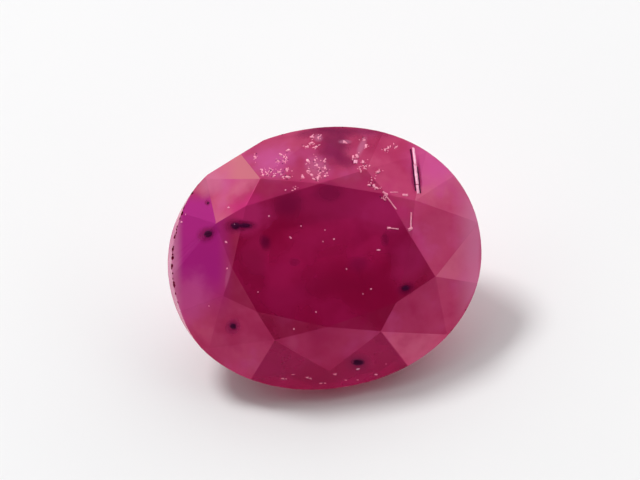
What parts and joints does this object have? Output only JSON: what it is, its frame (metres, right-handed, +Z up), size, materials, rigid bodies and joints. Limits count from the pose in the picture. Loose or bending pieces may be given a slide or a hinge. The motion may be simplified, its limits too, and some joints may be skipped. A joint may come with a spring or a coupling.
{
  "type": "faceted oval ruby",
  "caption": "Loose oval gemstone with a flat table, kite, star and girdle facets on the crown, a thin girdle and a stepped pavilion ending in a keel, to be set in jewellery.",
  "frame": {"origin": "on the surface the stone lies on, under the middle of its outer box", "axes": "+X along the stone's long axis, +Z up from the pavilion facet it lies on, the table leaning towards -Y"},
  "size_m": [0.011, 0.0072, 0.0066],
  "materials": {
    "ruby": "polished facets, translucent and included"
  },
  "bodies": {
    "root": {"ruby": "ruby"}
  },
  "joints": []
}
